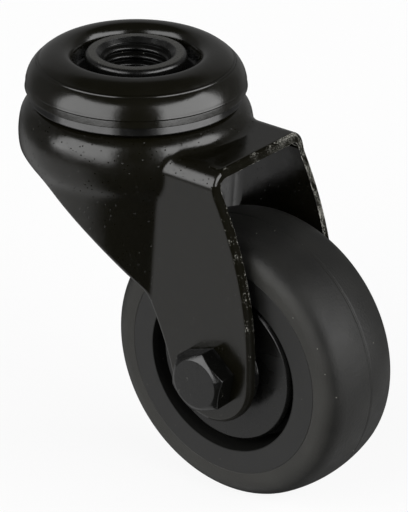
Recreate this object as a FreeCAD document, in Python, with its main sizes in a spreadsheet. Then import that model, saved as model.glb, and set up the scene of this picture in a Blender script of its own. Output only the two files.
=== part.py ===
"""Bolt hole swivel castor with a 50 mm rubber wheel, in millimetres, +Z up.

The origin is the centre of the kingpin's top face. +X is the way the wheel trails, and the axle lies
along Y with the bolt's head on the -Y side. Every driving dimension is a cell of the sheet "sizes".
"""
import FreeCAD, Part
import math
import os
import Sketcher

os.makedirs("parts", exist_ok=True)
doc = FreeCAD.newDocument("bolt_hole_castor")
Vector = FreeCAD.Vector

SIZES = {
    # kingpin: the hollow bolt that the castor hangs from, with an M12 fine thread's core bore
    "bore_radius": 5.25,
    "countersink": 1.5,
    "kingpin_wall": 2.15,
    "collar_lip": 1.4,
    "collar_height": 3.75,
    "collar_round": 0.8,
    "foot_lip": 2.0,
    "foot_height": 1.5,
    "foot_round": 0.7,
    # swivel bearing: two full rings of balls
    "upper_ball_radius": 2.0,
    "lower_ball_radius": 1.5,
    "ball_clearance": 0.02,
    "lower_pitch_step": 3.6,
    "upper_pitch_step": 3.0,
    "upper_groove_depth": 0.6,
    "lower_groove_depth": 0.45,
    "race_sheet": 1.2,
    "lower_race_thickness": 1.5,
    "lower_race_margin": 2.0,
    # dust seal between the upper race's rim and the fork
    "seal_width": 2.12,
    "seal_height": 1.7,
    "seal_taper": 0.62,
    "seal_flare": 0.45,
    "seal_gap": 0.15,
    # top cap: one pressed ring with a rolled inner rim
    "cap_sheet": 1.2,
    "cap_bend": 0.5,
    "cap_rise": 0.35,
    "cap_setback": 0.17,
    "crown_width": 6.05,
    "roll_radius": 2.2,
    "crown_curve": 5.4,
    "bulge_width": 2.1,
    "bulge_curve": 5.2,
    # fork: one pressed sheet
    "sheet": 1.7,
    "race_margin": 0.08,
    "race_recess": 0.9,
    "shoulder_curve": 4.0,
    "bowl_swell": 1.18,
    "bowl_curve": 14.3,
    "bowl_drop": 6.3,
    "bowl_turn": 4.8,
    "lower_curve": 8.0,
    "lower_turn": 25.35,
    "skirt_curve": 6.0,
    "skirt_lean": 3.0,
    "fork_hole_gap": 1.2,
    "plate_drop": 3.0,
    "leg_bend": 3.25,
    "crease_curve": 2.2,
    "front_reach": 26.9,
    "front_hollow": 5.0,
    "front_curve": 64.0,
    "front_straight": 3.6,
    "front_roll": 0.8,
    "back_depth": 9.2,
    "back_knee": 12.0,
    "back_curve": 52.44,
    "back_curve_rise": 5.31,
    "boss_radius": 8.6,
    # wheel and the way it hangs
    "trail": 26.15,
    "wheel_top_drop": 23.6,
    "wheel_half_width": 8.85,
    "wheel_gap": 1.85,
    "hub_wall": 1.6,
    "hub_lip": 1.1,
    "seat_lip": 1.0,
    "web_half_width": 2.5,
    "recess_width": 2.0,
    "recess_draft": 0.6,
    "rim_wall": 4.15,
    "rim_lip": 3.45,
    "key_depth": 1.95,
    "key_chamfer": 0.65,
    "tyre_thickness": 5.65,
    "tread_curve": 26.0,
    "tyre_shoulder": 3.8,
    # wheel bearing, 8 x 22 x 7
    "ring_wall": 2.05,
    "race_gap": 2.9,
    "bearing_half_width": 3.5,
    "bearing_ball_radius": 1.98,
    "cage_thickness": 0.9,
    "cage_half_width": 2.35,
    "cage_clearance": 0.06,
    "cage_rib": 2.4,
    "shield_thickness": 0.3,
    "shield_inset": 0.25,
    "shield_gap": 0.25,
    "shield_seat": 0.45,
    # axle: M6 hexagon bolt, lock nut and spacers
    "bolt_radius": 3.0,
    "bolt_clearance": 0.1,
    "bolt_flats": 10.0,
    "bolt_head_height": 4.0,
    "bolt_face_inset": 0.65,
    "bolt_chamfer_angle": 30.0,
    "bolt_stickout": 1.7,
    "bolt_tip": 0.6,
    "bolt_turn": 19.3,
    "nut_height": 6.0,
    "nut_collar_height": 1.6,
    "nut_collar_wall": 0.6,
    "nut_chamfer": 0.5,
    "nut_turn": 7.0,
    "nut_lip": 0.3,
    "nut_ring_wall": 0.9,
    "nut_ring_height": 1.2,
    "spacer_wall": 0.9,
    "spacer_relief": 0.45,
    # thread guards, the discs beside the hub
    "guard_gap": 1.5,
    "guard_setback": 1.0,
    "guard_thickness": 1.25,
    "guard_bevel": 0.5,
    "guard_boss_wall": 1.6,
    "guard_boss_gap": 1.3,
}
ZERO = 0

sheet = doc.addObject("Spreadsheet::Sheet", "sizes")
for row, (name, value) in enumerate(SIZES.items(), start=1):
    sheet.set(f"A{row}", str(value))
    sheet.setAlias(f"A{row}", name)
doc.recompute()


class Size:
    """A length that carries its number and the sheet expression that gives it."""

    def __init__(self, value, text):
        self.value = value
        self.text = text

    def join(self, other, sign, value):
        return Size(value, f"({self.text} {sign} {as_size(other).text})")

    def __add__(self, other):
        return self.join(other, "+", self.value + as_size(other).value)

    def __sub__(self, other):
        return self.join(other, "-", self.value - as_size(other).value)

    def __mul__(self, other):
        return self.join(other, "*", self.value * as_size(other).value)

    def __truediv__(self, other):
        return self.join(other, "/", self.value / as_size(other).value)

    def __rsub__(self, other):
        return as_size(other) - self

    def __neg__(self):
        return Size(-self.value, f"(-1 * {self.text})")

    def root(self):
        return Size(math.sqrt(self.value), f"sqrt({self.text})")

    def cosine(self):
        return Size(math.cos(math.radians(self.value)), f"cos({self.text} * 1 deg)")

    def sine(self):
        return Size(math.sin(math.radians(self.value)), f"sin({self.text} * 1 deg)")


def as_size(item):
    return item if isinstance(item, Size) else Size(item, repr(item))


def size(name):
    return Size(float(sheet.get(name)), f"sizes.{name}")


def leg_of(slope, side):
    """The other short side of a right triangle, from its long side and one short side."""
    return (slope * slope - side * side).root()


def polar(radius, angle):
    angle = as_size(angle)
    return radius * angle.cosine(), radius * angle.sine()


def onward(centre, radius, angle):
    """The point at a radius from a centre, turned down from the X axis by an angle."""
    across, down = polar(radius, angle)
    return centre[0] + across, centre[1] - down


def bind(thing, path, amount):
    thing.setExpression(path, as_size(amount).text)


class Outline:
    """A closed or open sketch outline whose corners and radii are bound to the sheet."""

    def __init__(self, sketch):
        self.sketch = sketch

    def bound(self, constraint, amount):
        index = self.sketch.addConstraint(constraint)
        self.sketch.setExpression(f"Constraints[{index}]", as_size(amount).text)

    def pin(self, curve, end, across, up):
        """Pin one end of a curve, or its centre, to a place."""
        self.place("DistanceX", -2, curve, end, across)
        self.place("DistanceY", -1, curve, end, up)

    def place(self, kind, axis, curve, end, amount):
        amount = as_size(amount)
        if amount.text == "0":
            self.sketch.addConstraint(Sketcher.Constraint("PointOnObject", curve, end, axis))
        else:
            self.bound(Sketcher.Constraint(kind, -1, 1, curve, end, amount.value), amount)

    def stretch(self, start, finish):
        """Add the line or arc between two steps; returns it with its first and last end."""
        one, two = flat(start), flat(finish)
        if len(start) == 2:
            return self.sketch.addGeometry(Part.LineSegment(one, two), False), 1, 2
        radius, bulge = as_size(start[2]).value, start[3]
        chord = two - one
        rise = radius - math.sqrt(max(radius ** 2 - chord.Length ** 2 / 4, 0))
        middle = (one + two) / 2 + Vector(-chord.y, chord.x, 0).normalize() * rise * bulge
        if bulge > 0:
            return self.sketch.addGeometry(Part.Arc(two, middle, one), False), 2, 1
        return self.sketch.addGeometry(Part.Arc(one, middle, two), False), 1, 2

    def tie(self, first, second):
        self.sketch.addConstraint(
            Sketcher.Constraint("Coincident", first[0], first[2], second[0], second[1]))


def flat(point):
    return Vector(as_size(point[0]).value, as_size(point[1]).value, 0)


def draw(sketch, steps, closed=True):
    """Draw an outline from steps of (across, up) or (across, up, radius, bulge).

    The radius and bulge belong to the stretch that leaves the point. A bulge of 1 swells to the
    left of the way along the outline, one of -1 to the right.
    """
    outline = Outline(sketch)
    stretches = [outline.stretch(step, after) for step, after in zip(steps, steps[1:])]
    if closed:
        stretches.append(outline.stretch(steps[-1], steps[0]))
    for before, after in zip(stretches, stretches[1:]):
        outline.tie(before, after)
    if closed:
        outline.tie(stretches[-1], stretches[0])
    for (curve, start, finish), step in zip(stretches, steps):
        outline.pin(curve, start, step[0], step[1])
    if not closed:
        outline.pin(stretches[-1][0], stretches[-1][2], steps[-1][0], steps[-1][1])
    for (curve, start, finish), step in zip(stretches, steps):
        if len(step) == 4:
            radius = as_size(step[2])
            outline.bound(Sketcher.Constraint("Radius", curve, radius.value), radius)


def origin_item(body, role):
    return [item for item in body.Origin.OriginFeatures if item.Role == role][0]


def body_sketch(body, name, plane):
    sketch = body.newObject("Sketcher::SketchObject", name)
    sketch.AttachmentSupport = [(origin_item(body, plane), "")]
    sketch.MapMode = "FlatFace"
    return sketch


def new_body(name):
    body = doc.addObject("PartDesign::Body", name)
    body.Label = name
    return body


def revolve(body, kind, name, steps):
    """Turn an outline in the XZ plane about the Z axis, to add (Revolution) or cut (Groove)."""
    sketch = body_sketch(body, name + "_outline", "XZ_Plane")
    draw(sketch, steps)
    feature = body.newObject("PartDesign::" + kind, name)
    feature.Profile = sketch
    feature.ReferenceAxis = (sketch, ["V_Axis"])
    feature.Angle = 360
    return feature


def circle(sketch, across, up, radius):
    ring = Part.Circle(flat((across, up)), Vector(0, 0, 1), as_size(radius).value)
    curve = sketch.addGeometry(ring, False)
    outline = Outline(sketch)
    outline.pin(curve, 3, across, up)
    outline.bound(Sketcher.Constraint("Radius", curve, as_size(radius).value), radius)


def groove_ring(body, name, pitch, height, radius):
    """Cut a ball groove: a ring of round section about the Z axis."""
    sketch = body_sketch(body, name + "_section", "XZ_Plane")
    circle(sketch, pitch, height, radius)
    feature = body.newObject("PartDesign::Groove", name)
    feature.Profile = sketch
    feature.ReferenceAxis = (sketch, ["V_Axis"])
    feature.Angle = 360
    return feature


def turned(name, steps):
    body = new_body(name)
    revolve(body, "Revolution", name + "_turning", steps)
    return body


def pressed_ring(name, skin, thickness, side):
    """A ring pressed from sheet: its skin line, thickened to one side and turned about Z."""
    sketch = doc.addObject("Sketcher::SketchObject", name + "_skin")
    sketch.Placement = FreeCAD.Placement(Vector(0, 0, 0), FreeCAD.Rotation(Vector(1, 0, 0), 90))
    draw(sketch, skin, closed=False)
    section = doc.addObject("Part::Offset2D", name + "_section")
    section.Source = sketch
    section.Fill = True
    section.Mode = "Skin"
    section.Join = "Arc"
    section.Value = thickness.value * side
    bind(section, "Value", thickness * side)
    ring = doc.addObject("Part::Revolution", name)
    ring.Label = name
    ring.Source = section
    ring.Axis = Vector(0, 0, 1)
    ring.Base = Vector(0, 0, 0)
    ring.Angle = 360
    ring.Solid = True
    return ring


def at_axle(thing):
    """Put a wheel piece on the axle: its own Z axis points along -Y, to the bolt's head."""
    thing.Placement = FreeCAD.Placement(
        Vector(trail.value, 0, -axle_drop.value), FreeCAD.Rotation(Vector(1, 0, 0), 90)
    )
    bind(thing, "Placement.Base.x", trail)
    bind(thing, "Placement.Base.z", -axle_drop)
    return thing


def ball_count(radius, pitch, space):
    """How many balls fit round a pitch circle with at least this space between neighbours."""
    return int(math.pi / math.asin((radius.value + space.value / 2) / pitch.value))


def ball_ring(name, count, radius, pitch, height):
    balls = []
    for index in range(count):
        ball = doc.addObject("Part::Sphere", f"{name}_{index + 1}")
        bind(ball, "Radius", radius)
        across, along = polar(pitch, 360 * index / count)
        bind(ball, "Placement.Base.x", across)
        bind(ball, "Placement.Base.y", along)
        bind(ball, "Placement.Base.z", height)
        balls.append(ball)
    ring = doc.addObject("Part::Compound", name)
    ring.Label = name
    ring.Links = balls
    return ring


# Radii that the head, the swivel bearing and the fork share, from the bore outwards
bore_radius = size("bore_radius")
sink_radius = bore_radius + size("countersink")
shank_radius = bore_radius + size("kingpin_wall")
collar_radius = shank_radius + size("collar_lip")
foot_radius = shank_radius + size("foot_lip")
ball_clearance = size("ball_clearance")
upper_ball = size("upper_ball_radius")
lower_ball = size("lower_ball_radius")
upper_groove = upper_ball + ball_clearance
lower_groove = lower_ball + ball_clearance
lower_pitch = shank_radius + size("lower_pitch_step")
upper_pitch = lower_pitch + size("upper_pitch_step")
recess_radius = upper_pitch + upper_groove + size("race_margin")
ridge_radius = recess_radius + size("race_recess")
race_rim = ridge_radius + size("seal_width")
cap_rim = race_rim - size("cap_setback")

# Heights that they share, from the kingpin's top face downwards
collar_height = size("collar_height")
cap_sheet = size("cap_sheet")
race_sheet = size("race_sheet")
sheet_gauge = size("sheet")
upper_depth = size("upper_groove_depth")
lower_depth = size("lower_groove_depth")
race_top = -(collar_height + cap_sheet)
race_under = race_top - race_sheet
upper_ball_z = race_under + upper_depth - upper_groove
seal_foot = race_under - size("seal_height")
crest = seal_foot - size("seal_gap")
fork_race = crest - size("race_recess")
fork_under = fork_race - sheet_gauge
lower_ball_z = fork_under + lower_depth - lower_groove
lower_race_top = lower_ball_z - lower_groove + lower_depth
lower_race_under = lower_race_top - size("lower_race_thickness")
foot_under = lower_race_under - size("foot_height")


def make_kingpin():
    """Hollow pin: collar over the cap's web, shank through the swivel, foot riveted under it."""
    top_round = size("collar_round")
    foot_round = size("foot_round")
    return turned("kingpin", [
        (sink_radius, ZERO),
        (collar_radius - top_round, ZERO, top_round, 1),
        (collar_radius, -top_round),
        (collar_radius, -collar_height),
        (shank_radius, -collar_height),
        (shank_radius, lower_race_under),
        (foot_radius, lower_race_under),
        (foot_radius, foot_under + foot_round, foot_round, 1),
        (foot_radius - foot_round, foot_under),
        (sink_radius, foot_under),
        (bore_radius, foot_under + size("countersink")),
        (bore_radius, -size("countersink")),
    ])


def make_top_cap():
    """Web on the kingpin, bend, inner roll, crown, crease and bulging wall, trimmed at the rim."""
    roll = size("roll_radius")
    rise = size("cap_rise")
    bend = size("cap_bend")
    curve = size("crown_curve")
    crown = cap_rim - size("crown_width")
    crease = cap_rim - size("bulge_width")
    crease_z = rise - curve + leg_of(curve, crease - crown)
    inner_wall = crown - roll
    blank = pressed_ring("top_cap_blank", [
        (shank_radius, -collar_height),
        (inner_wall - bend, -collar_height, bend, -1),
        (inner_wall, bend - collar_height),
        (inner_wall, rise - roll, roll, 1),
        (crown, rise, curve, 1),
        (crease, crease_z, size("bulge_curve"), 1),
        (cap_rim, race_top),
    ], cap_sheet, -1)
    below = doc.addObject("Part::Cylinder", "top_cap_trim")
    bind(below, "Radius", race_rim)
    bind(below, "Height", cap_sheet)
    bind(below, "Placement.Base.z", race_top - cap_sheet)
    cap = doc.addObject("Part::Cut", "top_cap")
    cap.Label = "top_cap"
    cap.Base = blank
    cap.Tool = below
    return cap


def make_upper_race():
    """Flat race plate with a ball groove pressed up into it; its rim shows under the cap."""
    half = leg_of(upper_groove, upper_groove - upper_depth)
    return pressed_ring("upper_race", [
        (shank_radius, race_under),
        (upper_pitch - half, race_under, upper_groove, 1),
        (upper_pitch + half, race_under),
        (race_rim, race_under),
    ], race_sheet, 1)


def make_dust_seal():
    """Skirt that widens to its foot, set back under the race's rim."""
    foot = race_rim - size("seal_taper")
    return turned("dust_seal", [
        (ridge_radius, race_under),
        (foot - size("seal_flare"), race_under),
        (foot, seal_foot),
        (ridge_radius, seal_foot),
    ])


def make_lower_race():
    rim = lower_pitch + size("lower_race_margin")
    body = turned("lower_race", [
        (shank_radius, lower_race_under),
        (rim, lower_race_under),
        (rim, lower_race_top),
        (shank_radius, lower_race_top),
    ])
    groove_ring(body, "lower_race_groove", lower_pitch, lower_ball_z, lower_groove)
    return body


# Wheel sizes, from the axle bolt outwards and from the wheel's middle to the fork's legs
bolt_radius = size("bolt_radius")
bolt_clearance = size("bolt_clearance")
spacer_bore = bolt_radius + bolt_clearance
axle_hole = spacer_bore + bolt_clearance
bearing_bore = spacer_bore + size("spacer_wall")
inner_land = bearing_bore + size("ring_wall")
outer_land = inner_land + size("race_gap")
seat_radius = outer_land + size("ring_wall")
race_pitch = inner_land + size("race_gap") / 2
race_ball = size("bearing_ball_radius")
race_groove = race_ball + ball_clearance
cage_rib = size("cage_rib")
spacer_collar = inner_land - size("spacer_relief")
hub_radius = seat_radius + size("hub_wall")
web_radius = hub_radius + size("recess_width")
mouth_radius = web_radius + size("recess_draft")
tyre_seat = mouth_radius + size("rim_wall")
tyre_key = tyre_seat - size("key_depth")
wheel_radius = tyre_seat + size("tyre_thickness")
guard_radius = mouth_radius - size("guard_gap")
bearing_half = size("bearing_half_width")
shield_face = bearing_half - size("shield_inset")
shield_back = shield_face - size("shield_thickness")
shield_radius = outer_land + size("shield_seat")
wheel_half = size("wheel_half_width")
key_half = wheel_half - size("rim_lip")
key_top = key_half + size("key_chamfer")
web_half = size("web_half_width")
hub_half = bearing_half + size("hub_lip")
guard_face = wheel_half - size("guard_setback")
guard_back = guard_face - size("guard_thickness")
leg_inner = wheel_half + size("wheel_gap")
leg_outer = leg_inner + sheet_gauge
nut_end = -(leg_outer + size("nut_height"))
nut_ring_radius = bolt_radius + size("nut_ring_wall")
nut_ring_end = nut_end + size("nut_lip")
nut_ring_top = nut_ring_end + size("nut_ring_height")
trail = size("trail")
axle_drop = wheel_radius + size("wheel_top_drop")


# Fork: one pressed sheet, as the turned bowl round the swivel and the channel over the wheel
boss_radius = size("boss_radius")
front_reach = size("front_reach")
plate_top = crest - size("plate_drop")
fork_bottom = -(axle_drop + boss_radius + sheet_gauge)


def swell_steps(inset, top):
    """The bowl's shoulder, swell, turned-in skirt and nearly straight wall, down to the bottom.

    The hollow's line is inset by the sheet, and all but the shoulder keep their centres then.
    The shoulder's own circle touches the crest.
    """
    curve = size("bowl_curve")
    lower = size("lower_curve")
    skirt = size("skirt_curve")
    lean = size("skirt_lean")
    shoulder = size("shoulder_curve") - inset
    bowl = (race_rim + size("bowl_swell") - curve, crest - size("bowl_drop"))
    reach = curve - inset
    rise = top - shoulder - bowl[1]
    run = leg_of(reach - shoulder, rise)
    spread = reach / (reach - shoulder)
    lower_centre = onward(bowl, curve - lower, size("bowl_turn"))
    skirt_centre = onward(lower_centre, lower + skirt, size("lower_turn"))
    wall_top = onward(skirt_centre, -(skirt + inset), lean)
    fall = (wall_top[1] - fork_bottom) * lean.sine() / lean.cosine()
    return [
        (bowl[0] + run, top, shoulder, 1),
        (bowl[0] + run * spread, bowl[1] + rise * spread, reach, 1),
        (*onward(bowl, reach, size("bowl_turn")), lower - inset, 1),
        (*onward(lower_centre, lower - inset, size("lower_turn")), skirt + inset, -1),
        wall_top,
        (wall_top[0] - fall, fork_bottom),
    ]


def channel_steps(half, top, bend):
    return [
        (-half, fork_bottom),
        (-half, top - bend, bend, 1),
        (bend - half, top),
        (half - bend, top, bend, 1),
        (half, top - bend),
        (half, fork_bottom),
    ]


def is_channel_face(face):
    """Whether a face belongs to the channel of plate and legs, which runs along X."""
    surface = face.Surface
    if isinstance(surface, Part.Plane):
        return abs(surface.Axis.x) < 0.5
    return isinstance(surface, Part.Cylinder) and abs(surface.Axis.x) > 0.5


def crease_edges(shape, half, ceiling):
    """The edges where the turned bowl meets the channel of this half width and ceiling."""
    margin = 0.01
    names = []
    for index, edge in enumerate(shape.Edges, start=1):
        faces = shape.ancestorsOfType(edge, Part.Face)
        if len(faces) != 2 or is_channel_face(faces[0]) == is_channel_face(faces[1]):
            continue
        box = edge.BoundBox
        in_width = box.YMin > -half - margin and box.YMax < half + margin
        at_bowl = box.XMin > half / 2 and box.XMax < front_reach.value
        if in_width and at_bowl and box.ZMax < ceiling + margin:
            names.append(f"Edge{index}")
    return names


def is_end_face(face):
    """Whether a face was cut straight across the channel, by the side view's outline."""
    surface = face.Surface
    if isinstance(surface, Part.Plane):
        return abs(surface.Axis.x) > 0.5
    return isinstance(surface, Part.Cylinder) and abs(surface.Axis.y) > 0.5


def front_edges(shape):
    """The outer edge of the plate's front end, with its two bends."""
    margin = 0.01
    lowest = plate_top.value - size("leg_bend").value
    names = []
    for index, edge in enumerate(shape.Edges, start=1):
        box = edge.BoundBox
        faces = shape.ancestorsOfType(edge, Part.Face)
        at_end = any(map(is_end_face, faces)) and any(map(is_channel_face, faces))
        if at_end and box.ZMax > plate_top.value - margin and box.ZMin > lowest - margin:
            names.append(f"Edge{index}")
    return names


def round_edges(body, name, pick, radius):
    """Round the edges that a rule picks out of the body's newest shape."""
    doc.recompute()
    base = body.Tip
    feature = body.newObject("PartDesign::Fillet", name)
    feature.Base = (base, pick(base.Shape))
    bind(feature, "Radius", radius)


def trim_steps():
    """All that the side view leaves out: before the front edge, under the boss, behind the back."""
    front_curve = size("front_curve")
    hollow = size("front_hollow")
    back_curve = size("back_curve")
    knee = size("back_knee")
    back = crest - size("back_depth")
    front = (trail + boss_radius - front_curve, size("front_straight") - axle_drop)
    hollow_x = front_reach + hollow
    hollow_z = front[1] + leg_of(front_curve + hollow, hollow_x - front[0])
    share = front_curve / (front_curve + hollow)
    rear_z = back - back_curve + size("back_curve_rise")
    rear_x = trail - leg_of(back_curve + boss_radius, rear_z + axle_drop)
    boss_share = boss_radius / (back_curve + boss_radius)
    knee_z = back - knee
    knee_x = rear_x + leg_of(back_curve - knee, knee_z - rear_z)
    knee_share = back_curve / (back_curve - knee)
    far = axle_drop + wheel_radius
    return [
        (front_reach, ZERO),
        (front_reach, hollow_z, hollow, -1),
        (front[0] + (hollow_x - front[0]) * share, front[1] + (hollow_z - front[1]) * share,
         front_curve, 1),
        (trail + boss_radius, front[1]),
        (trail + boss_radius, -axle_drop, boss_radius, 1),
        (trail - (trail - rear_x) * boss_share, (rear_z + axle_drop) * boss_share - axle_drop,
         back_curve, -1),
        (rear_x + (knee_x - rear_x) * knee_share, rear_z + (knee_z - rear_z) * knee_share,
         knee, -1),
        (knee_x, back),
        (-far, back),
        (-far, -far),
        (far, -far),
        (far, ZERO),
    ]


def cut_through(body, name):
    """A pocket right through the body along Y, for an outline that is still to be drawn."""
    sketch = body_sketch(body, name + "_outline", "XZ_Plane")
    pocket = body.newObject("PartDesign::Pocket", name)
    pocket.Profile = sketch
    pocket.Midplane = True
    bind(pocket, "Length", (race_rim + size("bowl_curve")) * 2)
    return sketch


def make_fork():
    body = new_body("fork")
    reach = trail + boss_radius + sheet_gauge
    shoulder = size("shoulder_curve")
    outer = swell_steps(as_size(0.0), crest)
    ridge = crest - shoulder + leg_of(shoulder, ridge_radius - outer[0][0])
    revolve(body, "Revolution", "fork_bowl", [
        (ZERO, fork_bottom),
        (ZERO, fork_race),
        (recess_radius, fork_race),
        (ridge_radius, ridge, shoulder, 1),
    ] + outer[1:])
    channel = body_sketch(body, "fork_channel_outline", "YZ_Plane")
    draw(channel, channel_steps(leg_outer, plate_top, size("leg_bend")))
    pad = body.newObject("PartDesign::Pad", "fork_channel")
    pad.Profile = channel
    bind(pad, "Length", reach)
    round_edges(
        body, "fork_outer_crease",
        lambda shape: crease_edges(shape, leg_outer.value, plate_top.value),
        size("crease_curve"))
    revolve(body, "Groove", "fork_bowl_hollow", [
        (ZERO, fork_bottom),
        (ZERO, fork_under),
    ] + swell_steps(sheet_gauge, fork_under))
    hollow = body_sketch(body, "fork_channel_hollow_outline", "YZ_Plane")
    draw(hollow, channel_steps(leg_inner, plate_top - sheet_gauge, size("leg_bend") - sheet_gauge))
    cut = body.newObject("PartDesign::Pocket", "fork_channel_hollow")
    cut.Profile = hollow
    cut.Reversed = True
    bind(cut, "Length", reach + sheet_gauge)
    round_edges(
        body, "fork_inner_crease",
        lambda shape: crease_edges(shape, leg_inner.value, (plate_top - sheet_gauge).value),
        size("crease_curve") + sheet_gauge)
    draw(cut_through(body, "fork_side_trim"), trim_steps())
    round_edges(body, "fork_front_roll", front_edges, size("front_roll"))
    circle(cut_through(body, "fork_axle_holes"), trail, -axle_drop, axle_hole)
    hole = shank_radius + size("fork_hole_gap")
    revolve(body, "Groove", "fork_kingpin_hole", [
        (ZERO, fork_under - sheet_gauge),
        (ZERO, crest),
        (hole, crest),
        (hole, fork_under - sheet_gauge),
    ])
    groove_ring(body, "fork_upper_groove", upper_pitch, upper_ball_z, upper_groove)
    groove_ring(body, "fork_lower_groove", lower_pitch, lower_ball_z, lower_groove)
    return body


# Wheel: drawn about its own Z axis, whose positive side is the bolt head's
def make_tyre():
    """Flat side, rounded shoulder and gently crowned tread, keyed into the wheel's centre."""
    tread = size("tread_curve")
    shoulder = size("tyre_shoulder")
    crown_r = wheel_radius - tread
    reach = tread - shoulder
    shoulder_z = wheel_half - shoulder
    run = leg_of(reach, shoulder_z)
    share = tread / reach
    return at_axle(turned("tyre", [
        (tyre_key, -key_half),
        (tyre_key, key_half),
        (tyre_seat, key_top),
        (tyre_seat, wheel_half),
        (crown_r + run, wheel_half, shoulder, 1),
        (crown_r + run * share, shoulder_z * share, tread, 1),
        (crown_r + run * share, -shoulder_z * share, shoulder, 1),
        (crown_r + run, -wheel_half),
        (tyre_seat, -wheel_half),
        (tyre_seat, -key_top),
    ]))


def make_wheel_centre():
    """Hub with the bearing's seat, a web and a rim; the bearing stands against a lip."""
    lip = seat_radius - size("seat_lip")
    return at_axle(turned("wheel_centre", [
        (seat_radius, -bearing_half),
        (seat_radius, hub_half),
        (hub_radius, hub_half),
        (hub_radius, web_half),
        (web_radius, web_half),
        (mouth_radius, wheel_half),
        (tyre_seat, wheel_half),
        (tyre_seat, key_top),
        (tyre_key, key_half),
        (tyre_key, -key_half),
        (tyre_seat, -key_top),
        (tyre_seat, -wheel_half),
        (mouth_radius, -wheel_half),
        (web_radius, -web_half),
        (hub_radius, -web_half),
        (hub_radius, -hub_half),
        (lip, -hub_half),
        (lip, -bearing_half),
    ]))


def make_bearing_outer_ring():
    body = turned("bearing_outer_ring", [
        (outer_land, -shield_back),
        (outer_land, shield_back),
        (shield_radius, shield_back),
        (shield_radius, bearing_half),
        (seat_radius, bearing_half),
        (seat_radius, -bearing_half),
        (shield_radius, -bearing_half),
        (shield_radius, -shield_back),
    ])
    groove_ring(body, "bearing_outer_groove", race_pitch, ZERO, race_groove)
    return at_axle(body)


def make_bearing_inner_ring():
    body = turned("bearing_inner_ring", [
        (bearing_bore, -bearing_half),
        (bearing_bore, bearing_half),
        (inner_land, bearing_half),
        (inner_land, -bearing_half),
    ])
    groove_ring(body, "bearing_inner_groove", race_pitch, ZERO, race_groove)
    return at_axle(body)


def make_shield(name, side):
    inner = inner_land + size("shield_gap")
    return at_axle(turned(name, [
        (inner, shield_back * side),
        (inner, shield_face * side),
        (shield_radius, shield_face * side),
        (shield_radius, shield_back * side),
    ]))


def make_bearing_cage():
    """A ring between the races with one round pocket for each ball."""
    half = size("cage_thickness") / 2
    tall = size("cage_half_width")
    body = turned("bearing_cage", [
        (race_pitch - half, -tall),
        (race_pitch - half, tall),
        (race_pitch + half, tall),
        (race_pitch + half, -tall),
    ])
    sketch = body_sketch(body, "bearing_cage_pocket_outline", "YZ_Plane")
    circle(sketch, ZERO, ZERO, race_ball + size("cage_clearance"))
    pocket = body.newObject("PartDesign::Pocket", "bearing_cage_pocket")
    pocket.Profile = sketch
    pocket.Reversed = True
    bind(pocket, "Length", seat_radius)
    pattern = body.newObject("PartDesign::PolarPattern", "bearing_cage_pockets")
    pattern.Originals = [pocket]
    pattern.Axis = (origin_item(body, "Z_Axis"), [""])
    pattern.Angle = 360
    pattern.Occurrences = ball_count(race_ball, race_pitch, cage_rib)
    body.Tip = pattern
    return at_axle(body)


def make_axle_spacer(name, side):
    """Top hat spacer: its shank centres the bearing and its collar fills the way to the leg."""
    return at_axle(turned(name, [
        (spacer_bore, bolt_clearance * side),
        (bearing_bore, bolt_clearance * side),
        (bearing_bore, bearing_half * side),
        (spacer_collar, bearing_half * side),
        (spacer_collar, leg_inner * side),
        (spacer_bore, leg_inner * side),
    ]))


def make_thread_guard(name, side):
    """Disc over the hub and bearing, with a bevelled rim and a low boss round the spacer."""
    bevel = size("guard_bevel")
    boss = spacer_collar + size("guard_boss_wall")
    boss_top = leg_inner - size("guard_boss_gap")
    return at_axle(turned(name, [
        (spacer_collar, guard_back * side),
        (guard_radius, guard_back * side),
        (guard_radius, (guard_face - bevel) * side),
        (guard_radius - bevel, guard_face * side),
        (boss, guard_face * side),
        (boss - bevel, boss_top * side),
        (spacer_collar, boss_top * side),
    ]))


def hexagon_steps(flats, turn):
    corner = flats / as_size(3).root()
    return [polar(corner, turn + 60 * index) for index in range(6)]


def cut_hexagon(body, name, flats, turn, top, height):
    """Cut six flats into a turned blank, from a height downwards."""
    sketch = body_sketch(body, name + "_outline", "XY_Plane")
    sketch.setExpression("AttachmentOffset.Base.z", as_size(top).text)
    draw(sketch, hexagon_steps(flats, turn))
    circle(sketch, ZERO, ZERO, flats)
    pocket = body.newObject("PartDesign::Pocket", name)
    pocket.Profile = sketch
    bind(pocket, "Length", height)


def make_axle_bolt():
    flats = size("bolt_flats")
    head = leg_outer + size("bolt_head_height")
    corner = flats / as_size(3).root()
    face = flats / 2 - size("bolt_face_inset")
    slope = size("bolt_chamfer_angle")
    drop = (corner - face) * slope.sine() / slope.cosine()
    end = nut_end - size("bolt_stickout")
    tip = size("bolt_tip")
    body = turned("axle_bolt", [
        (ZERO, end),
        (ZERO, head),
        (face, head),
        (corner, head - drop),
        (corner, leg_outer),
        (bolt_radius, leg_outer),
        (bolt_radius, end + tip),
        (bolt_radius - tip, end),
    ])
    cut_hexagon(body, "axle_bolt_flats", flats, size("bolt_turn"), head, size("bolt_head_height"))
    return at_axle(body)


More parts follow.
